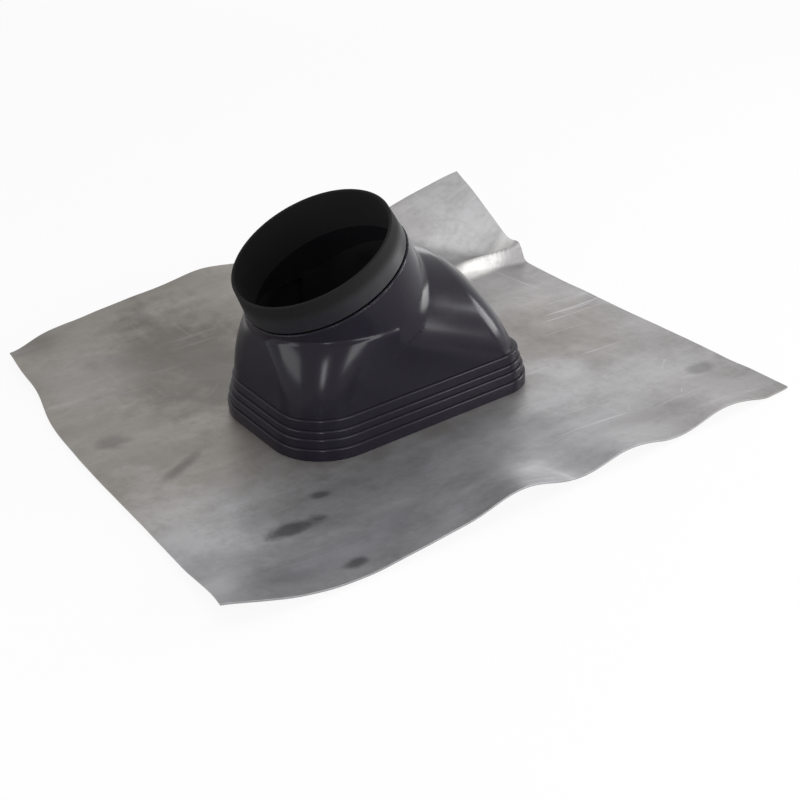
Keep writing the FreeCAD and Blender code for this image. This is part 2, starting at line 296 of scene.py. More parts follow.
def make_scratch_group():
    """Fine scratches: noise stretched along one bearing, kept where it peaks and in scattered patches."""
    inputs = [("Vector", ORIGIN), ("Turn", 0.0), ("Scale", 60.0), ("Length", 30.0), ("Share", 0.3)]
    tree, given, out = new_group("Fine scratches", inputs, [("Mask", "NodeSocketFloat")])
    long_way = maths(tree, "DIVIDE", 1.0, given["Length"])
    shape = node(tree, "ShaderNodeCombineXYZ", [(0, long_way), (1, 1.0), (2, 0.2)]).outputs[0]
    place = vectors(tree, "MULTIPLY", turned(tree, given["Vector"], given["Turn"]), shape)
    lines = noise(tree, place, given["Scale"], detail=2.0)
    lower = maths(tree, "MULTIPLY", given["Share"], PEAK_PER_SHARE)
    edge = maths(tree, "SUBTRACT", RAREST_PEAK, lower)
    peak = spread(tree, lines, edge, maths(tree, "ADD", edge, PEAK_EDGE))
    scattered = spread(tree, noise(tree, given["Vector"], scale=14.0, detail=2.0), *SCATTER)
    tree.links.new(maths(tree, "MULTIPLY", peak, scattered), out["Mask"])
    return tree


SCRATCH = group_made(make_scratch_group())

# %% Moulded skin
SKIN_WAVE = 0.1
DUSTY_WHERE = (0.45, 0.75)
DUST_DULLS = 0.6


def make_skin_group():
    """Moulded skin: a wide and a fine bump, and dust where a third noise is high, which dulls it too."""
    inputs = [("Vector", ORIGIN), ("Roughness", 0.2), ("Grain", 0.05), ("Dust", 0.1)]
    outputs = [("Roughness", "NodeSocketFloat"), ("Normal", "NodeSocketVector"),
               ("Dust", "NodeSocketFloat")]
    tree, given, out = new_group("Moulded skin", inputs, outputs)
    wave = noise(tree, given["Vector"], scale=22.0, detail=1.0)
    grain = noise(tree, given["Vector"], scale=900.0, detail=2.0)
    marks = noise(tree, given["Vector"], scale=35.0, detail=6.0, roughness=0.7)
    wide = bump(tree, wave, strength=SKIN_WAVE, distance=0.002)
    fine = bump(tree, grain, strength=given["Grain"], distance=0.0003, under=wide)
    dust = maths(tree, "MULTIPLY", spread(tree, marks, *DUSTY_WHERE), given["Dust"])
    rough = maths(tree, "ADD", given["Roughness"], maths(tree, "MULTIPLY", dust, DUST_DULLS))
    tree.links.new(rough, out["Roughness"])
    tree.links.new(fine, out["Normal"])
    tree.links.new(dust, out["Dust"])
    return tree


SKIN = group_made(make_skin_group())

# %% [markdown]
# ## Lead
#
# New lead is bright, and a few weeks of air turn it a dull, uneven grey. This sheet is warm grey up the
# slope and cooler and paler down it, with streaks from the rolling mill, clouds of tarnish, a few dark
# smudges, and fine pale lines where it was rubbed. A few patches paint light and shade into the colour: the
# hood's shadow down the slope from it, shade beside the hood and on the drooping corner, light on the
# bent-up flap and a highlight along the fold's crest. A painted picture could carry all that, but noise and
# soft patches keep sharp at any distance and need no picture file. Half a dozen plain colours are mixed,
# and each mask says where.

# %% Lead colours
LEAD_WARM = (0.240, 0.224, 0.205)
LEAD_COOL = (0.292, 0.284, 0.286)
LEAD_SLATE = (0.285, 0.285, 0.300)
# The next colour is the dark tone of the streaks and the mottle, and painted shade in two patches.
LEAD_DARK_AND_SHADE = (0.120, 0.112, 0.100)
LEAD_BLUE_DARK = (0.150, 0.152, 0.170)
# The next colour paints the hood's shadow on the sheet, down the slope from the hood.
LEAD_HOOD_SHADOW = (0.205, 0.188, 0.170)
# The next colour is the pale tone of streaks, patches and rubbed lines, and painted light on the bent-up
# flap.
LEAD_PALE_AND_PAINTED_LIGHT = (0.52, 0.52, 0.535)
# The next colour is a painted highlight along the crest of the rolled fold.
LEAD_FOLD_HIGHLIGHT = (0.74, 0.73, 0.715)
SOOT = (0.035, 0.034, 0.036)

# Each patch: x, y, half length, half width, turn, how ragged, colour, strength. Places are in metres.
LEAD_PATCHES = [
    # painted shade beside the hood, up the slope and to its far side
    (-0.105, 0.115, 0.075, 0.120, 0.0, 2.2, LEAD_DARK_AND_SHADE, 0.90),
    # painted shade on the far corner up the slope, where it droops
    (-0.218, 0.228, 0.040, 0.022, 0.3, 1.0, LEAD_DARK_AND_SHADE, 0.75),
    (-0.195, 0.145, 0.045, 0.050, 0.0, 2.0, LEAD_COOL, 0.30),
    (-0.232, -0.110, 0.036, 0.075, 0.0, 2.2, LEAD_PALE_AND_PAINTED_LIGHT, 0.30),
    (-0.165, -0.212, 0.085, 0.024, 0.0, 1.8, LEAD_BLUE_DARK, 0.35),
    (-0.085, -0.150, 0.110, 0.022, 0.0, 1.6, LEAD_BLUE_DARK, 0.12),
    # painted shadow of the hood on the sheet, down the slope from it
    (0.175, -0.045, 0.060, 0.075, 0.1, 0.8, LEAD_HOOD_SHADOW, 0.75),
    (0.150, -0.150, 0.110, 0.050, 0.2, 1.8, LEAD_PALE_AND_PAINTED_LIGHT, 0.22),
    (0.130, -0.100, 0.035, 0.022, 0.2, 1.2, LEAD_PALE_AND_PAINTED_LIGHT, 0.35),
    (-0.221, 0.033, 0.015, 0.012, 0.0, 2.6, SOOT, 0.40),
    (-0.197, -0.037, 0.027, 0.006, -0.5, 2.6, SOOT, 0.50),
    (-0.174, -0.166, 0.020, 0.009, 0.15, 2.6, SOOT, 0.80),
    (-0.136, -0.139, 0.008, 0.005, 0.2, 2.0, SOOT, 0.65),
    (-0.164, -0.229, 0.009, 0.006, 0.0, 2.0, SOOT, 0.70),
    (0.219, -0.180, 0.014, 0.009, 0.0, 2.4, SOOT, 0.42),
    # painted light on the bent-up flap, which faces the light
    (0.245, 0.175, 0.060, 0.070, 0.0, 1.0, LEAD_PALE_AND_PAINTED_LIGHT, 0.50),
    # painted highlight along the crest of the rolled fold
    (0.215, 0.108, 0.060, 0.013, -0.23, 0.8, LEAD_FOLD_HIGHLIGHT, 0.90),
]

# Each set of rubbed lines: turn, scale, length, share of the surface.
LEAD_RUBS = [(0.08, 210.0, 34.0, 0.45), (1.50, 190.0, 30.0, 0.40), (-0.7, 260.0, 18.0, 0.2)]
print(len(LEAD_PATCHES), "patches and", len(LEAD_RUBS), "sets of rubbed lines for the lead")

# %% Lead ramps
# Each ramp of place or noise: from, to, and the values that it has there if they aren't 0 and 1.
NEAR_SIDE = (-0.06, -0.16)
DOWN_SLOPE = (0.02, 0.16)
DARK_STREAKS = (0.58, 0.34, 0.0, 0.26)
PALE_STREAKS = (0.54, 0.76, 0.0, 0.22)
DARK_MOTTLE = (0.56, 0.34, 0.0, 0.22)
RUBS_BY_PLACE = (-0.05, 0.12, 0.12, 0.6)
LEAD_ROUGH = (0.3, 0.7, 0.50, 0.38)

WANDER = 0.20               # metres by which the clouds shift the two ramps of place
ROLLED = (1.0, 4.5, 1.0)    # the streaks are 4.5 times longer than wide, along x
RUB_PALE = 0.6
RUB_POLISH = -0.08
LEAD_METAL = 0.7
print(f"lead turns cool between x {DOWN_SLOPE[0]} and {DOWN_SLOPE[1]} m")

# %% Lead material
def lead_ground(tree, where, x, y, clouds):
    """Base tone: warm, slate on the near side, cool down the slope, with streaks along the rolling."""
    wander = maths(tree, "MULTIPLY", maths(tree, "SUBTRACT", clouds, 0.5), WANDER)
    near = spread(tree, maths(tree, "ADD", y, wander), *NEAR_SIDE)
    down = spread(tree, maths(tree, "ADD", x, wander), *DOWN_SLOPE)
    tone = tone_mix(tree, down, tone_mix(tree, near, LEAD_WARM, LEAD_SLATE), LEAD_COOL)
    along = vectors(tree, "MULTIPLY", where, ROLLED)
    streaks = noise(tree, along, scale=7.0, detail=5.0, roughness=0.6)
    tone = tone_mix(tree, spread(tree, streaks, *DARK_STREAKS), tone, LEAD_DARK_AND_SHADE)
    return tone_mix(tree, spread(tree, streaks, *PALE_STREAKS), tone, LEAD_PALE_AND_PAINTED_LIGHT)


def lead_patched(tree, where, tone):
    """Lays the smudges, the pale patches and the patches of painted shadow, shade and light over a tone, and
    then a fine dark mottle.
    """
    for x, y, long, wide, turn, ragged, color, strength in LEAD_PATCHES:
        links = [("Vector", where), ("Place", (x, y, 0.0)), ("Size", (long, wide, 1.0)), ("Turn", turn),
                 ("Ragged", ragged)]
        mask = use_group(tree, PATCH, links)["Mask"]
        tone = tone_mix(tree, maths(tree, "MULTIPLY", mask, strength), tone, color)
    mottle = use_group(tree, CLOUD, [("Vector", where), ("Scale", 30.0), ("Fine share", 0.5)])["Tone"]
    return tone_mix(tree, spread(tree, mottle, *DARK_MOTTLE), tone, LEAD_DARK_AND_SHADE)


def lead_rubs(tree, where, x):
    """Mask of the rubbed lines: the largest of all sets, fainter up the slope."""
    rubs = 0.0
    for turn, scale, length, share in LEAD_RUBS:
        links = [("Vector", where), ("Turn", turn), ("Scale", scale), ("Length", length),
                 ("Share", share)]
        rubs = maths(tree, "MAXIMUM", use_group(tree, SCRATCH, links)["Mask"], rubs)
    return maths(tree, "MULTIPLY", rubs, spread(tree, x, *RUBS_BY_PLACE))


def make_lead():
    """Tarnished lead: ground, patches and rubs for its colour, clouds for its dullness, two bumps."""
    material, tree, shader, where = new_material("tarnished_lead", (0.32, 0.315, 0.31))
    xyz = node(tree, "ShaderNodeSeparateXYZ", [(0, where)]).outputs
    clouds = use_group(tree, CLOUD, [("Vector", where), ("Scale", 9.0), ("Fine share", 0.3)])["Tone"]
    tone = lead_patched(tree, where, lead_ground(tree, where, xyz[0], xyz[1], clouds))
    rubs = lead_rubs(tree, where, xyz[0])
    tone = tone_mix(tree, maths(tree, "MULTIPLY", rubs, RUB_PALE), tone, LEAD_PALE_AND_PAINTED_LIGHT)
    tree.links.new(tone, shader.inputs["Base Color"])
    polish = maths(tree, "MULTIPLY", rubs, RUB_POLISH)
    rough = maths(tree, "ADD", spread(tree, clouds, *LEAD_ROUGH), polish)
    tree.links.new(rough, shader.inputs["Roughness"])
    shader.inputs["Metallic"].default_value = LEAD_METAL
    knocks = noise(tree, where, scale=42.0, detail=3.0)
    grain = noise(tree, where, scale=260.0, detail=3.0)
    wide = bump(tree, knocks, strength=0.3, distance=0.0015)
    fine = bump(tree, grain, strength=0.2, distance=0.0003, under=wide)
    tree.links.new(fine, shader.inputs["Normal"])
    print(name_and_nodes(material))
    return material


LEAD = make_lead()

# %% [markdown]
# ## Black plastic
#
# The hood is an injection moulding in black, with a slight indigo tint and a smooth but not quite even
# skin. One flat colour would look like a hole in the picture: a faint wave and a fine grain break up the
# reflections, and a little dust lifts the tone where hands don't rub it off. Inside, where little light
# comes, it is matt and painted darker as shade. The hidden clamp frame is a duller moulding of the same kind.

# %% Plastic
PLASTIC_IOR = 1.5


def make_plastic(name, color, dusty, shine, roughness, grain, dust):
    """Moulded plastic: one colour that dust lightens a little, with a faintly wavy skin."""
    material, tree, shader, where = new_material(name, color)
    links = [("Vector", where), ("Roughness", roughness), ("Grain", grain), ("Dust", dust)]
    skin = use_group(tree, SKIN, links)
    tree.links.new(tone_mix(tree, skin["Dust"], color, dusty), shader.inputs["Base Color"])
    tree.links.new(skin["Roughness"], shader.inputs["Roughness"])
    tree.links.new(skin["Normal"], shader.inputs["Normal"])
    shader.inputs["IOR"].default_value = PLASTIC_IOR
    shader.inputs["Specular IOR Level"].default_value = shine
    print(name_and_nodes(material))
    return material


HOOD_BLACK = make_plastic("hood_black", (0.0092, 0.0078, 0.0125), (0.026, 0.023, 0.032),
                          shine=0.15, roughness=0.18, grain=0.04, dust=0.10)
# The inside is a darker copy of the black: painted shade where little light comes.
HOOD_INSIDE_SHADE = make_plastic("hood_inside_shade", (0.003, 0.003, 0.004), (0.010, 0.010, 0.012),
                           shine=0.05, roughness=0.7, grain=0.05, dust=0.2)
FRAME_BLACK = make_plastic("frame_black", (0.02, 0.02, 0.022), (0.08, 0.08, 0.085),
                           shine=0.5, roughness=0.55, grain=0.3, dust=0.3)

# %% [markdown]
# ## Collar ring
#
# The ring is a separate satin moulding that is pushed into the sleeve, and its bore is painted darker as
# shade. The bore could be a second material on its own faces, but the ring is a imported mesh of loose
# triangles. It is simpler to
# let the material find the bore: the distance from the collar's axis is the length of (p - mouth) x axis.

# %% Ring black
RING_TONE = (0.008, 0.0075, 0.010)
RING_DUSTY = (0.035, 0.034, 0.042)
# The bore's tone is painted shade, darker than the ring outside.
BORE_PAINTED_SHADE = (0.002, 0.002, 0.002)
BORE_STARTS, BORE_FULL = 0.0700, 0.0690
BORE_ROUGH = 0.8


def make_ring_black():
    """Satin black for the ring, duller and painted darker as shade where it is nearer the collar's axis than
    BORE_FULL.
    """
    material, tree, shader, where = new_material("ring_black", (0.012, 0.011, 0.016))
    skin = use_group(tree, SKIN, [("Vector", where), ("Roughness", 0.40), ("Grain", 0.08), ("Dust", 0.15)])
    mouth = (FOOT_MID[0] + MOUTH[0] * MM, FOOT_MID[1], MOUTH[1] * MM)
    axis = (-math.sin(TILT), 0.0, math.cos(TILT))
    off = vectors(tree, "CROSS_PRODUCT", vectors(tree, "SUBTRACT", where, mouth), axis)
    # The next mask says where the bore is painted darker as shade.
    bore = spread(tree, length_of(tree, off), BORE_STARTS, BORE_FULL)
    outside = tone_mix(tree, skin["Dust"], RING_TONE, RING_DUSTY)
    tree.links.new(tone_mix(tree, bore, outside, BORE_PAINTED_SHADE), shader.inputs["Base Color"])
    rough = node(tree, "ShaderNodeMix", [(0, bore), (2, skin["Roughness"]), (3, BORE_ROUGH)]).outputs[0]
    tree.links.new(rough, shader.inputs["Roughness"])
    tree.links.new(skin["Normal"], shader.inputs["Normal"])
    shader.inputs["IOR"].default_value = PLASTIC_IOR
    shader.inputs["Specular IOR Level"].default_value = 0.2
    print(name_and_nodes(material))
    return material


RING_BLACK = make_ring_black()

# %% [markdown]
# ## Screws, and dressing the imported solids
#
# The screws that hold the clamp frame are plain turned steel: a metal whose tone and roughness drift a
# little with the clouds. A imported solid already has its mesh, so it only needs its material.

# %% Steel
STEEL_DULL = (0.45, 0.45, 0.46)
STEEL_BRIGHT = (0.66, 0.66, 0.67)
STEEL_ROUGH = (0.3, 0.7, 0.25, 0.45)


def make_steel():
    """Plain turned steel: clouds move its tone and its roughness together."""
    material, tree, shader, where = new_material("screw_steel", (0.55, 0.55, 0.56))
    clouds = use_group(tree, CLOUD, [("Vector", where), ("Scale", 160.0), ("Fine share", 0.5)])["Tone"]
    tree.links.new(tone_mix(tree, clouds, STEEL_DULL, STEEL_BRIGHT), shader.inputs["Base Color"])
    tree.links.new(spread(tree, clouds, *STEEL_ROUGH), shader.inputs["Roughness"])
    shader.inputs["Metallic"].default_value = 1.0
    print(name_and_nodes(material))
    return material


STEEL = make_steel()

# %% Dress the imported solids
def dress(name, material):
    """Gives a CAD node one material."""
    mesh = NODES[name].data
    mesh.materials.clear()
    mesh.materials.append(material)
    mesh.polygons.foreach_set("material_index", np.zeros(len(mesh.polygons), np.int32))


for solid, finish in (("lead_sheet", LEAD), ("hood", HOOD_BLACK), ("collar_ring", RING_BLACK),
                      ("clamp_frame", FRAME_BLACK), ("clamp_screws", STEEL)):
    dress(solid, finish)
    print(f"{solid} wears {finish.name}")

# %% [markdown]
# ## Hood
#
# The hood is one moulding. A vault falls down the slope to a rounded nose, a shoulder closes the up-slope
# end, and a tilted sleeve takes the ring. It has no sharp joins. Pushing faces about by hand, or joining
# solids and rounding their edges, gives creases where three of these forms meet.
#
# So the body is a distance field: a number at each point that is negative inside the plastic, positive
# outside and 0 on the skin. The larger of two fields is their overlap and the smaller is their union, and
# both can be rounded by a radius. The forms then run into each other as they do in a mould.
#
# Distances are in millimetres from the middle of the foot, with z up from the roof.

# %% Hood sizes
WALL = 3.2
LEDGES = (10.0, 8.0, 6.0, 8.5)
LEDGE_IN = 2.0
FOOT_TOP = THICK / MM + sum(LEDGES)
BODY_IN = LEDGE_IN * len(LEDGES)
BODY_HALF = FOOT_W / MM / 2 - BODY_IN
BODY_END = FOOT_L / MM / 2 - BODY_IN
SHOULDER_Z = 92.0
DRAFT_SIDE = 0.4
DRAFT_END = 6.0
print(f"hood body {2 * BODY_END:.1f} x {2 * BODY_HALF:.1f} mm on a foot {FOOT_TOP:.1f} mm high")

# %% Rounded joins
def round_max(a, b, r):
    """Overlap of two fields with its edge rounded: |(a + r, b + r)+| + min(max(a, b) + r, 0) - r."""
    outside = np.hypot(np.maximum(a + r, 0), np.maximum(b + r, 0))
    return outside + np.minimum(np.maximum(a, b) + r, 0) - r


def round_min(a, b, r):
    """Union of two fields with a fillet of radius r in the corner between them."""
    return -round_max(-a, -b, r)


def height_share(z):
    """0 at the top of the foot and 1 at the top of the shoulder."""
    return (z - FOOT_TOP) / (SHOULDER_Z - FOOT_TOP)

# %% Vault
RIDGE_Z = 143.5
RIDGE_FALL = math.radians(25.0)
END_LEAN = math.radians(19.0)
NOSE_R = 27.0
VAULT_FROM = 25.0


def vault_field(x, y, z):
    """Half-round roof that falls down the slope, ended by a leaning plane with a round of NOSE_R.

    Over the springing line the field is |(y, rise)| - half, and under it |y| - half.
    """
    half = BODY_HALF - DRAFT_SIDE * np.clip(height_share(z), 0.0, 1.0)
    rise = (z - RIDGE_Z) * math.cos(RIDGE_FALL) + x * math.sin(RIDGE_FALL) + BODY_HALF
    roof = np.where(rise > 0, np.hypot(y, rise), np.abs(y)) - half
    end = ((x - BODY_END) + (z - FOOT_TOP) * math.tan(END_LEAN)) * math.cos(END_LEAN)
    start = MOUTH[0] + VAULT_FROM - x
    return np.maximum(round_max(roof, end, NOSE_R), start)


print(f"vault falls {math.degrees(RIDGE_FALL):.0f} degrees from z {RIDGE_Z} mm over the foot's middle")

# %% Shoulder
CORNER_LOW = 42.0
CORNER_HIGH = 71.0
CORNER_BEND = 2.3
SHOULDER_R = 3.0
SHOULDER_TO = 30.0


def shoulder_field(x, y, z):
    """Up-slope end: it leans in, and its plan corners grow rounder with height, under the sleeve.

    Corner radius = low + (high - low) * share ^ bend, where share runs from 0 to 1 up the shoulder.
    """
    share = np.clip(height_share(z), 0.0, 1.0)
    corner = CORNER_LOW + (CORNER_HIGH - CORNER_LOW) * share ** CORNER_BEND
    side = np.abs(y) - BODY_HALF + DRAFT_SIDE * share
    end = -BODY_END - x + DRAFT_END * share
    block = round_max(round_max(side, end, corner), z - SHOULDER_Z, SHOULDER_R)
    return np.maximum(block, x - MOUTH[0] - SHOULDER_TO)


def body_field(x, y, z):
    """Shoulder and vault together."""
    return np.minimum(shoulder_field(x, y, z), vault_field(x, y, z))


print(f"shoulder corners {CORNER_LOW:.0f} mm round at the foot and {CORNER_HIGH:.0f} mm at the top")

# %% Sleeve, hollow and bore
SLEEVE_R = 71.5
SLEEVE_TOP = -26.1
SLEEVE_LONG = 52.0
SLEEVE_EDGE = 0.9
SLEEVE_FILLET = 2.4
BORE_R = 66.0
SOCKET_R = 68.7
SOCKET_FOOT = -37.5
WALL_EDGE = 0.5
BODY_LAP = 4.0


def collar_axes(x, y, z):
    """Distance from the collar's axis, and height along it from the mouth."""
    dx, dz = x - MOUTH[0], z - MOUTH[1]
    along = dz * math.cos(TILT) - dx * math.sin(TILT)
    side = dx * math.cos(TILT) + dz * math.sin(TILT)
    return np.hypot(side, y), along


def hood_field(x, y, z):
    """The hood's plastic: (sleeve + shoulder + vault) less its hollow and the pipe's bore, over the foot.

    The hollow is the body's own field moved in by WALL. The ring's socket widens the bore at its mouth.
    """
    reach, along = collar_axes(x, y, z)
    barrel = np.maximum(reach - SLEEVE_R, SLEEVE_TOP - SLEEVE_LONG - along)
    sleeve = round_max(barrel, along - SLEEVE_TOP, SLEEVE_EDGE)
    body = body_field(x, y, z)
    outer = round_min(body, sleeve, SLEEVE_FILLET)
    inner = np.maximum(body + WALL, -z)
    bore = np.minimum(reach - BORE_R, np.maximum(reach - SOCKET_R, SOCKET_FOOT - along))
    shell = round_max(outer, -np.minimum(inner, bore), WALL_EDGE)
    return np.maximum(shell, FOOT_TOP - BODY_LAP - z)


print(f"sleeve {2 * SLEEVE_R:.0f} mm across, bore {2 * BORE_R:.0f} mm")

# %% [markdown]
# ## From a field to a skin
#
# A field has no faces yet. Blender's Remesh modifier could turn joined solids into one mesh, but it needs
# those solids first and leaves small steps. A surface net makes the mesh from the field in two moves.
# First it marks each cell of a grid that the skin runs through, puts one point in it, and joins the four
# cells round each grid edge that the skin crosses. Then every point slides along the field's slope onto
# the skin itself.

# %% Surface net
NET_SLIDES = 12
LEAST_SLOPE = 0.2


def slope_of(field, points, step=0.02):
    """Gradient of a field by central differences."""
    out = np.empty_like(points)
    for axis in range(3):
        shift = np.zeros(3)
        shift[axis] = step
        ahead, behind = points + shift, points - shift
        out[:, axis] = (field(*ahead.T) - field(*behind.T)) / (2 * step)
    return out


def skin_of(field, low, high, step):
    """Surface net of a field in a box: gives its points and its quads, which face outwards.

    Each point slides onto the skin by p <- p - f * grad f / |grad f|^2, half a cell at most each time.
    """
    axes = [np.arange(a, b + step, step) for a, b in zip(low, high)]
    inside = field(*np.meshgrid(*axes, indexing="ij")) < 0
    n = [s - 1 for s in inside.shape]
    total = np.zeros(n, np.int8)
    for i, j, k in np.ndindex(2, 2, 2):
        total += inside[i:i + n[0], j:j + n[1], k:k + n[2]]
    crossed = (total > 0) & (total < 8)
    number = np.full(n, -1)
    number[crossed] = np.arange(crossed.sum())
    cells = np.argwhere(crossed)
    points = np.stack([axes[a][cells[:, a]] for a in range(3)], 1) + step / 2
    quads = []
    for a in range(3):
        b, c = (a + 1) % 3, (a + 2) % 3
        here = np.moveaxis(inside, (a, b, c), (0, 1, 2))
        cell = np.moveaxis(number, (a, b, c), (0, 1, 2))
        change = here[1:, 1:-1, 1:-1] != here[:-1, 1:-1, 1:-1]
        i, j, k = np.nonzero(change)
        ring = np.stack([cell[i, j, k], cell[i, j + 1, k], cell[i, j + 1, k + 1], cell[i, j, k + 1]], 1)
        flip = ~here[:-1, 1:-1, 1:-1][i, j, k]
        ring[flip] = ring[flip][:, ::-1]
        quads.append(ring)
    for _ in range(NET_SLIDES):
        slope = slope_of(field, points)
        steep = np.maximum(np.square(slope).sum(1), LEAST_SLOPE)
        move = slope * (field(*points.T) / steep)[:, None]
        points -= np.clip(move, -step / 2, step / 2)
    return points, np.concatenate(quads)

# %% Hood body
HOOD_GRID = 1.5
NET_BESIDE, NET_BELOW, NET_ABOVE = 4.0, 7.0, 12.0
NORMAL_STEP = 0.3
INSIDE_DEEP = 1.4


def to_part(points):
    """Millimetres from the middle of the foot to metres in the part."""
    return points * MM + np.array([FOOT_MID[0], FOOT_MID[1], 0.0])


def make_hood_body():
    """The hood above its foot, with the field's own slope as its normals and a matt inside that is painted
    darker as shade.
    """
    low = (-BODY_END - NET_BESIDE, -BODY_HALF - NET_BESIDE, FOOT_TOP - NET_BELOW)
    high = (BODY_END + NET_BESIDE, BODY_HALF + NET_BESIDE, RIDGE_Z + NET_ABOVE)
    points, quads = skin_of(hood_field, low, high, HOOD_GRID)
    body = make_piece("hood_body", to_part(points), quads, HOOD_BLACK)
    normals = slope_of(hood_field, points, NORMAL_STEP)
    normals /= np.maximum(np.linalg.norm(normals, axis=1), 1e-6)[:, None]
    body.data.normals_split_custom_set_from_vertices(normals)
    middle = points[quads].mean(1)
    in_body = body_field(*middle.T) < -WALL / 2
    in_sleeve = collar_axes(*middle.T)[0] < SLEEVE_R - INSIDE_DEEP
    # Faces inside the body or the sleeve take the darker inside material, which is painted shade.
    body.data.materials.append(HOOD_INSIDE_SHADE)
    body.data.polygons.foreach_set("material_index", (in_body | in_sleeve).astype(np.int32))
    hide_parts("hood")


make_hood_body()

# %% [markdown]
# ## Stepped foot
#
# The foot is a stack of four ledges, each a little smaller than the one below. Extruding and insetting the
# outline four times would do, but a profile carried round the outline is one shape: change a ledge and the
# whole foot follows. The outer corner of each ledge is a small curve, because a moulded edge is never
# sharp and that curve catches the light.

# %% Foot outline
def foot_outline(inset, count=14):
    """Rounded outline of the foot set in by `inset`, anticlockwise, with `count` points on each corner."""
    half_l, half_w = FOOT_L / MM / 2 - inset, FOOT_W / MM / 2 - inset
    corners = [(1, -1, FOOT_R_DOWN), (1, 1, FOOT_R_DOWN), (-1, 1, FOOT_R_UP), (-1, -1, FOOT_R_UP)]
    points = []
    for turn, (sx, sy, radius) in enumerate(corners):
        r = max(radius / MM - inset, 1.0)
        angle = np.linspace(0, math.pi / 2, count) + (turn - 1) * math.pi / 2
        x = sx * (half_l - r) + r * np.cos(angle)
        y = sy * (half_w - r) + r * np.sin(angle)
        points.append(np.stack([x, y], 1))
    return np.concatenate(points)


print(len(foot_outline(0.0)), "points round the foot")

# %% Hood foot
LEDGE_ROUND = 1.6
ROUND_STEPS = 4
FOOT_SHARP = math.radians(35)


def eased(profile):
    """Rounds each corner of a closed (inset, z) profile that is marked True, by a curve of three points.

    The curve is (1 - t)^2 a + 2 t (1 - t) corner + t^2 b, with a and b LEDGE_ROUND away on either side.
    """
    out = []
    for i, (inset, z, soft) in enumerate(profile):
        here = np.array([inset, z])
        if not soft:
            out.append(here)
            continue
        back, ahead = np.array(profile[i - 1][:2]), np.array(profile[(i + 1) % len(profile)][:2])
        a = here + (back - here) / np.linalg.norm(back - here) * LEDGE_ROUND
        b = here + (ahead - here) / np.linalg.norm(ahead - here) * LEDGE_ROUND
        for t in np.linspace(0, 1, ROUND_STEPS + 1):
            out.append((1 - t) ** 2 * a + 2 * t * (1 - t) * here + t ** 2 * b)
    return out


def make_hood_foot():
    """The stepped foot: a closed profile up the ledges and down the hollow, carried round the outline."""
    seat = THICK / MM
    profile, z = [(0.0, seat, False)], seat
    for i, height in enumerate(LEDGES):
        z += height
        profile += [(i * LEDGE_IN, z, True), ((i + 1) * LEDGE_IN, z, False)]
    profile[-1] = (BODY_IN + WALL, z, False)
    room = (len(LEDGES) - 2) * LEDGE_IN + WALL
    under = FOOT_TOP - LEDGES[-1] - WALL
    profile += [(BODY_IN + WALL, under, False), (room, under, False), (room, seat + LEDGES[0] - WALL, False),
                (WALL, seat + LEDGES[0] - WALL, False), (WALL, seat, False)]
    rings = [level(foot_outline(inset), height) for inset, height in eased(profile)]
    quads = ring_quads(len(rings), len(rings[0]))
    foot = make_piece("hood_foot", to_part(np.concatenate(rings)), quads, HOOD_BLACK)
    foot.data.set_sharp_from_angle(angle=FOOT_SHARP)
    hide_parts("hood")


make_hood_foot()

# %% [markdown]
# ## Lead sheet
#
# Soft lead takes the shape that hands give it. The near edge waves, one corner curls, one droops and one is
# bent right up past a rolled fold. Sculpting or a cloth simulation could shape it, but lead doesn't spring
# or hang: it stays where it is pushed. Its height over the roof is therefore a plain sum of ramps, waves
# and bells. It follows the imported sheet, apart from a fold that stands higher and a few millimetres at the
# edges. On top come the shallow dents of dressing, which fade out where the hood is clamped down.
#
# Distances are in millimetres from the middle of the part.

# %% Sheet sizes
SHEET_X, SHEET_Y = HALF_X / MM, HALF_Y / MM
FOOT_X, FOOT_Y = FOOT_MID[0] / MM, FOOT_MID[1] / MM
FLAT_MARGIN = 20.0


def bell(t):
    """Bell curve: exp(-t^2)."""
    return np.exp(-np.square(t))


def ramp(t):
    """0 below 0, then t^2."""
    return np.square(np.maximum(0.0, t))


def foot_gap(x, y):
    """Distance outside the foot's outline, 0 under the hood."""
    dx = np.maximum(np.abs(x - FOOT_X) - FOOT_L / MM / 2, 0)
    dy = np.maximum(np.abs(y - FOOT_Y) - FOOT_W / MM / 2, 0)
    return np.hypot(dx, dy)


print(f"foot's middle at x {FOOT_X:.1f}, y {FOOT_Y:.1f} mm")

# %% Bent corner and fold
# The crease ends at FLAP_X, FLAP_Y. The flap rises past it, and the fold rolls up just in front of it.
FLAP_X = 253.0
FLAP_Y = 94.0
FLAP_TURN = math.radians(38.0)
FLAP_SLOPE = 1.0
FLAP_EASE = 0.0042
FLAP_SOFT = 5.0
FOLD_LIFT = 13.0
FOLD_STEEP = 5.0
FOLD_SLOW = 14.0
FOLD_AT = 5.0
FOLD_TURN = math.radians(77.0)
FOLD_FADE = 80.0


def past_line(x, y, turn):
    """Distance past a line through the crease's end that makes the angle `turn` with the edge."""
    return (x - FLAP_X) * math.cos(turn) + (y - FLAP_Y) * math.sin(turn)


def flap_lift(x, y):
    """Corner bent up past its crease: slope * rise - ease * rise^2, with a soft bend of FLAP_SOFT."""
    past = past_line(x, y, FLAP_TURN)
    fade_in = 0.5 + 0.5 * np.tanh((past + 2 * FLAP_SOFT) / FLAP_SOFT)
    rise = 0.5 * (past + np.hypot(past, FLAP_SOFT)) * fade_in
    rise = np.where(past < -4 * FLAP_SOFT, 0.0, rise)
    return FLAP_SLOPE * rise - FLAP_EASE * np.square(rise)


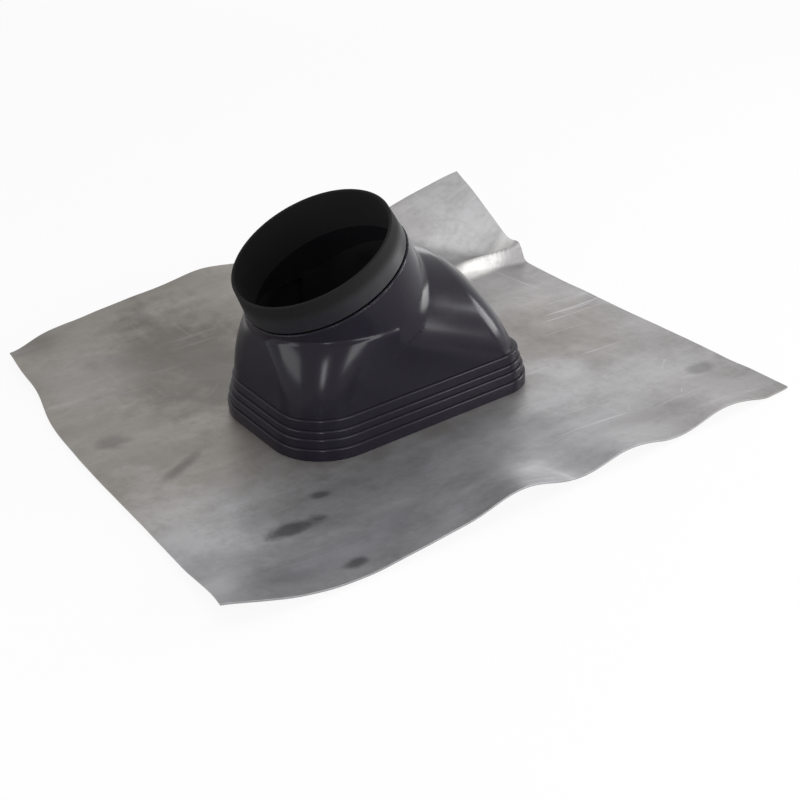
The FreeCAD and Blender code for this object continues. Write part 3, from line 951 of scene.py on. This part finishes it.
def fold_lift(x, y):
    """Rolled fold: a bell that is steep on its near side and slow behind, and dies out up the slope."""
    past = past_line(x, y, FOLD_TURN) - FOLD_AT
    roll = np.where(past < 0, bell(past / FOLD_STEEP), bell(past / FOLD_SLOW))
    return FOLD_LIFT * roll * bell(np.maximum(0, FLAP_X - x) / FOLD_FADE)


print(f"flap {flap_lift(SHEET_X, SHEET_Y):.0f} mm up at its corner")

# %% Waves, curl and droop
LIFT_NEAR = 2.0
LIFT_FAR = 15.0
LIFT_UP = 2.0
LIFT_DOWN = 2.0
WAVE = 4.0
WAVE_PITCH = 105.0
WAVE_AT = -30.0
WAVE_EASE = 0.4
CURL_LIFT = 13.0
CURL_SIZE = 50.0
DROOP = 13.0
DROOP_SIZE = 26.0

# Single rises of the edges: height, x of the middle, half width.
RISES = ((8.0, -45.0, 65.0), (-5.0, 262.0, 60.0))

# How the corners depart from a rectangle, which the curl and the droop follow.
CUT_NEAR = 19.0
EAR = 10.0
CUT_FAR = 28.0


def sheet_lift(x, y):
    """Height of the underside: ramps to the four edges, waves, a curl, a droop, the flap and the fold.

    Each ramp is 0 beside the foot and grows with the square of the share of the way to its edge.
    """
    near, far = FOOT_Y - FOOT_W / MM / 2 - FLAT_MARGIN, FOOT_Y + FOOT_W / MM / 2 + FLAT_MARGIN
    up, down = FOOT_X - FOOT_L / MM / 2 - FLAT_MARGIN, FOOT_X + FOOT_L / MM / 2 + FLAT_MARGIN
    wave = WAVE * (1 + np.cos(2 * math.pi * (x - WAVE_AT) / WAVE_PITCH))
    wave = wave * (0.5 + 0.5 * np.tanh((x - WAVE_AT + WAVE_PITCH / 2) / (WAVE_EASE * WAVE_PITCH)))
    for height, middle, size in RISES:
        wave = wave + height * bell((x - middle) / size)
    z = ramp((near - y) / (near + SHEET_Y)) * (LIFT_NEAR + wave)
    z = z + ramp((y - far) / (SHEET_Y - far)) * (LIFT_FAR + wave / 2)
    z = z + ramp((up - x) / (up + SHEET_X)) * LIFT_UP + ramp((x - down) / (SHEET_X - down)) * LIFT_DOWN
    z = z + bell(np.hypot(x + SHEET_X, y + SHEET_Y - CUT_NEAR) / CURL_SIZE) * CURL_LIFT
    z = z - bell(np.hypot(x + SHEET_X - EAR - CUT_FAR, y - SHEET_Y) / DROOP_SIZE) * DROOP
    return np.hypot(np.maximum(0, z), flap_lift(x, y)) + fold_lift(x, y)


near_edge = sheet_lift(np.linspace(-SHEET_X, SHEET_X, 200), -SHEET_Y)
print(f"near edge {near_edge.min():.1f} to {near_edge.max():.1f} mm over the roof")

# %% Dents
# Each size of dent: depth, pitch, seed of its random lattice.
DENT_WIDE = (0.9, 58.0, 3)
DENT_MIDDLE = (0.35, 23.0, 5)
DENT_FINE = (0.10, 9.0, 7)
DENT_FROM = 4
DENT_FADE = 30.0


def lattice_noise(x, y, pitch, seed):
    """Smooth random height from -1 to 1: a random lattice of that pitch, blended by 3t^2 - 2t^3."""
    table = np.random.default_rng(seed).uniform(-1, 1, (64, 64))
    gx, gy = x / pitch + 32, y / pitch + 32
    i, j = np.floor(gx).astype(int), np.floor(gy).astype(int)
    tx, ty = gx - i, gy - j
    tx, ty = tx * tx * (3 - 2 * tx), ty * ty * (3 - 2 * ty)
    a, b = table[i % 64, j % 64], table[(i + 1) % 64, j % 64]
    c, d = table[i % 64, (j + 1) % 64], table[(i + 1) % 64, (j + 1) % 64]
    return (a * (1 - tx) + b * tx) * (1 - ty) + (c * (1 - tx) + d * tx) * ty


def dents(x, y):
    """Marks of dressing: wide + middle, never under -depth of wide, + that depth + fine, off the foot.

    They fade in with 1 - bell(gap / fade), so the sheet is smooth where the hood is clamped.
    """
    def marks(dent):
        """Noise of one size of dent."""
        depth, pitch, seed = dent
        return depth * lattice_noise(x, y, pitch, seed)

    away = 1 - bell(np.maximum(0, foot_gap(x, y) - DENT_FROM) / DENT_FADE)
    deepest = DENT_WIDE[0]
    deep = marks(DENT_WIDE) + marks(DENT_MIDDLE)
    return away * (np.maximum(deep, -deepest) + deepest + marks(DENT_FINE))


print(f"dents {dents(*np.meshgrid(np.arange(-250, 250, 5.0), np.arange(-250, 250, 5.0))).max():.1f} mm high")

# %% Sheet outline
FLARE_DOWN = 19.0
BOW_FAR = 85.0
BOW_FAR_AT = 0.42
NICK = 6.5
NICK_AT = 0.82
NICK_SIZE = 0.09


def sheet_edge(side, t):
    """Outline in plan: side 0 is near, 1 down the slope, 2 far and 3 up the slope; t runs 0 to 1 on each.

    u and v are the shares of the way down the slope and to the far side. High powers of them bend an edge
    near one corner only, and the far edge is a wide parabola.
    """
    u = (t, np.ones_like(t), 1 - t, np.zeros_like(t))[side]
    v = (np.zeros_like(t), t, np.ones_like(t), 1 - t)[side]
    x_up = -SHEET_X + EAR * (1 - (1 - v) ** 8) + CUT_FAR * v ** 4 + NICK * bell((v - NICK_AT) / NICK_SIZE)
    x_down = SHEET_X - FLARE_DOWN * (1 - v ** 5)
    y_near = -SHEET_Y + CUT_NEAR * (1 - u) ** 10
    y_far = SHEET_Y - BOW_FAR * np.square(u - BOW_FAR_AT)
    return np.stack([x_up + u * (x_down - x_up), y_near + v * (y_far - y_near)], -1)


for side in range(4):
    print("corner of the sheet at", sheet_edge(side, np.zeros(1))[0].round(1), "mm")

# %% [markdown]
# ## The sheet's skin
#
# A plane with a Solidify modifier would give the sheet its thickness, but the real sheet also turns up
# inside the hood's foot, where the clamp holds it. Here it is one closed skin instead. Rays leave the lip
# inside the foot, run out over the top to the edge, turn round it and come back underneath. The rings
# across those rays close on themselves, so there is no seam and no open border.

# %% Sheet skin
SHEET_RAYS = 110
SHEET_STEPS = 96
LIP_IN = 3.2
LIP_TOP = 8.0
LIP_KNEE = 1.4
LIP_POINTS = 40
EDGE_ROUND = 0.25
SHEET_SHARP = math.radians(50)


def on_bearings(angle, inset):
    """Points of the foot's outline, set in, that lie on the bearings `angle` from the foot's middle."""
    path = foot_outline(inset, LIP_POINTS) + [FOOT_X, FOOT_Y]
    turn = np.mod(np.arctan2(path[:, 1] - FOOT_Y, path[:, 0] - FOOT_X), 2 * math.pi)
    order = np.argsort(turn)
    turn, path = turn[order], path[order]
    turn = np.concatenate([turn[-1:] - 2 * math.pi, turn, turn[:1] + 2 * math.pi])
    path = np.concatenate([path[-1:], path, path[:1]])
    wanted = np.mod(angle, 2 * math.pi)
    return np.stack([np.interp(wanted, turn, path[:, k]) for k in (0, 1)], -1)


def make_sheet():
    """Closed skin on rays: lip + (edge - lip) * t in plan, at the lift and dents there, and back below.

    The underside needs only every second ring.
    """
    edge = np.concatenate([sheet_edge(side, np.arange(SHEET_RAYS) / SHEET_RAYS) for side in range(4)])
    angle = np.arctan2(edge[:, 1] - FOOT_Y, edge[:, 0] - FOOT_X)
    seat = THICK / MM
    lip_out, lip_in = on_bearings(angle, LIP_IN), on_bearings(angle, LIP_IN + seat)
    rings = [level(lip_in, LIP_TOP), level(lip_out, LIP_TOP), level(lip_out, seat)]
    steps = np.linspace(0, 1, SHEET_STEPS)[1:]
    over, under = [], []
    for t in steps:
        plan = lip_out + (edge - lip_out) * t
        lift = sheet_lift(*plan.T) + dents(*plan.T)
        over.append(level(plan, lift + seat))
        if t in steps[::2] or t == 1.0:
            under.append(level(plan, lift))
    out = np.stack([edge[:, 0] - FOOT_X, edge[:, 1] - FOOT_Y], 1)
    out /= np.linalg.norm(out, axis=1)[:, None]
    middle = (over[-1] + under[-1]) / 2
    middle[:, :2] += out * EDGE_ROUND
    rings += over + [middle] + under[::-1] + [level(lip_in, 0.0), level(lip_in, LIP_KNEE)]
    rings = np.stack(rings)
    quads = ring_quads(*rings.shape[:2], flipped=True)
    sheet = make_piece("dressed_sheet", rings.reshape(-1, 3) * MM, quads, LEAD)
    sheet.data.set_sharp_from_angle(angle=SHEET_SHARP)
    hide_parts("lead_sheet")


make_sheet()

# %% [markdown]
# ## Camera
#
# The boot is seen from above its near up-slope corner, through a slightly long lens. The camera is set by
# its bearing, its dip and a small roll, and its matrix is built from the three directions that these give.
# A Track To constraint would aim it too, but it can't hold a roll.

# %% Camera
CAMERA_AT = Vector((-0.5700, -0.9032, 0.5639))
CAMERA_TURN = math.radians(33.745)
CAMERA_DOWN = math.radians(28.956)
CAMERA_ROLL = math.radians(-3.230)
CAMERA_LENS = 63.0
CAMERA_SENSOR = 36.0


def make_camera():
    """Camera that looks down the slope of the roof from the near side, rolled a little."""
    across = Vector((math.cos(CAMERA_TURN), -math.sin(CAMERA_TURN), 0.0))
    ahead = Vector((math.sin(CAMERA_TURN), math.cos(CAMERA_TURN), 0.0))
    up = Vector((0.0, 0.0, math.cos(CAMERA_DOWN))) + ahead * math.sin(CAMERA_DOWN)
    look = ahead * math.cos(CAMERA_DOWN) - Vector((0.0, 0.0, math.sin(CAMERA_DOWN)))
    c, s = math.cos(CAMERA_ROLL), math.sin(CAMERA_ROLL)
    right, up = across * c + up * s, up * c - across * s
    turn = Matrix((right, up, -look)).transposed().to_4x4()
    data = bpy.data.cameras.new("camera")
    data.lens = CAMERA_LENS
    data.sensor_width = CAMERA_SENSOR
    camera = bpy.data.objects.new("camera", data)
    camera.matrix_world = Matrix.Translation(CAMERA_AT) @ turn
    bpy.context.scene.collection.objects.link(camera)
    bpy.context.scene.camera = camera
    print(f"camera {CAMERA_AT.length:.2f} m away, {CAMERA_LENS:.0f} mm lens")


make_camera()

# %% [markdown]
# ## Floor and surround
#
# The boot lies on white, with only a trace of shadow. More light would make a grey floor white, but it
# would bleach the lead as well. So the floor and the world are white only to rays that look at them, from
# the camera, a mirror or glass, and the light that they send onto the object stays at a plain level.

# %% Floor
FLOOR_SIZE = 6.0
FLOOR_DROP = 0.0004
FLOOR_TONE = (0.85, 0.85, 0.85, 1.0)
FLOOR_GLOW = 0.9
WHITE = (1.0, 1.0, 1.0, 1.0)


def seen(tree):
    """1 for rays that show the surroundings: to the camera, in a mirror or through glass."""
    path = tree.nodes.new("ShaderNodeLightPath").outputs
    shown = maths(tree, "MAXIMUM", path["Is Camera Ray"], path["Is Glossy Ray"])
    return maths(tree, "MAXIMUM", shown, path["Is Transmission Ray"])


def make_floor():
    """Wide pale floor: matt, with FLOOR_GLOW parts of plain white to rays that look at it."""
    size, drop = FLOOR_SIZE, FLOOR_DROP
    corners = [(-size, -size, -drop), (size, -size, -drop), (size, size, -drop), (-size, size, -drop)]
    mesh = bpy.data.meshes.new("floor")
    mesh.from_pydata(corners, [], [(0, 1, 2, 3)])
    floor = bpy.data.objects.new("floor", mesh)
    bpy.context.scene.collection.objects.link(floor)
    material = bpy.data.materials.new("floor_white")
    material.use_nodes = True
    tree = material.node_tree
    tree.nodes.clear()
    out = tree.nodes.new("ShaderNodeOutputMaterial")
    matt = node(tree, "ShaderNodeBsdfDiffuse", [("Color", FLOOR_TONE)])
    glow = node(tree, "ShaderNodeEmission", [("Color", WHITE), ("Strength", 1.0)])
    share = maths(tree, "MULTIPLY", seen(tree), FLOOR_GLOW)
    both = node(tree, "ShaderNodeMixShader", [(0, share), (1, matt.outputs[0]), (2, glow.outputs[0])])
    tree.links.new(both.outputs[0], out.inputs[0])
    mesh.materials.append(material)
    print(f"floor {2 * FLOOR_SIZE:.0f} m wide")


make_floor()

# %% Surround
WORLD_LIGHT = 0.5


def make_world():
    """White where it is seen, and a dimmer white surround that lights the object."""
    world = bpy.data.worlds.new("studio")
    bpy.context.scene.world = world
    world.use_nodes = True
    tree = world.node_tree
    back = tree.nodes["Background"]
    back.inputs["Color"].default_value = WHITE
    tree.links.new(spread(tree, seen(tree), 0.0, 1.0, WORLD_LIGHT, 1.0), back.inputs["Strength"])
    print(f"surround lights the boot with strength {WORLD_LIGHT}")


make_world()

# %% [markdown]
# ## Lamps
#
# Black gloss has hardly a tone of its own: what shows is the reflection of the room. One wide soft lamp
# overhead and a low one behind give the lead its sheen. Five soft lamps stand on the floor round the hood,
# and the plastic shows them as soft upright bands. One big lamp would light it as well, but evenly, and
# then the rounded corners would hardly show.

# %% Lamps
MIDDLE = (0.0, 0.0, 0.05)
HOOD_CORNER = Vector((-0.10, -0.08, 0.07))
STAND_OFF = 1.5
STAND_GAP = 0.02

# Each hanging lamp: name, place, width, height, watts.
HANGING = [
    ("overhead", (0.0, -0.3, 1.7), 1.5, 1.2, 8.0),
    ("behind", (1.3, 1.6, 0.4), 1.2, 0.5, 4.0),
]

# Each standing lamp: name, bearing in degrees from the hood's near corner, width, height, watts.
STANDING = [
    ("up_slope", 172.0, 0.85, 0.5, 6.0),
    ("strip", -132.0, 0.14, 0.5, 3.6),
    ("near_side", -84.0, 0.90, 0.5, 12.0),
    ("down_slope", -14.0, 0.60, 0.45, 9.0),
    ("near_right", -50.0, 0.45, 0.5, 8.0),
]


def soft_light(name, at, aim, width, height, watts):
    """Rectangular soft light at a place, facing a point, and not seen by the camera itself."""
    data = bpy.data.lights.new(name, "AREA")
    data.shape = "RECTANGLE"
    data.size, data.size_y = width, height
    data.energy = watts
    light = bpy.data.objects.new(name, data)
    light.location = at
    light.rotation_mode = "QUATERNION"
    light.rotation_quaternion = (Vector(aim) - Vector(at)).to_track_quat("-Z", "Y")
    light.visible_camera = False
    bpy.context.scene.collection.objects.link(light)
    print(f"lamp {name}: {watts} W, {width} x {height} m")


def standing_light(name, bearing, width, height, watts):
    """Soft light that stands on the floor, STAND_OFF from the hood's near corner on a bearing."""
    turn = math.radians(bearing)
    at = HOOD_CORNER + STAND_OFF * Vector((math.cos(turn), math.sin(turn), 0.0))
    at.z = height / 2 + STAND_GAP
    soft_light(name, at, HOOD_CORNER, width, height, watts)


for lamp, place, wide, high, watts in HANGING:
    soft_light(lamp, place, MIDDLE, wide, high, watts)
for lamp, bearing, wide, high, watts in STANDING:
    standing_light(lamp, bearing, wide, high, watts)

scene = bpy.context.scene
scene.view_settings.view_transform = "Standard"
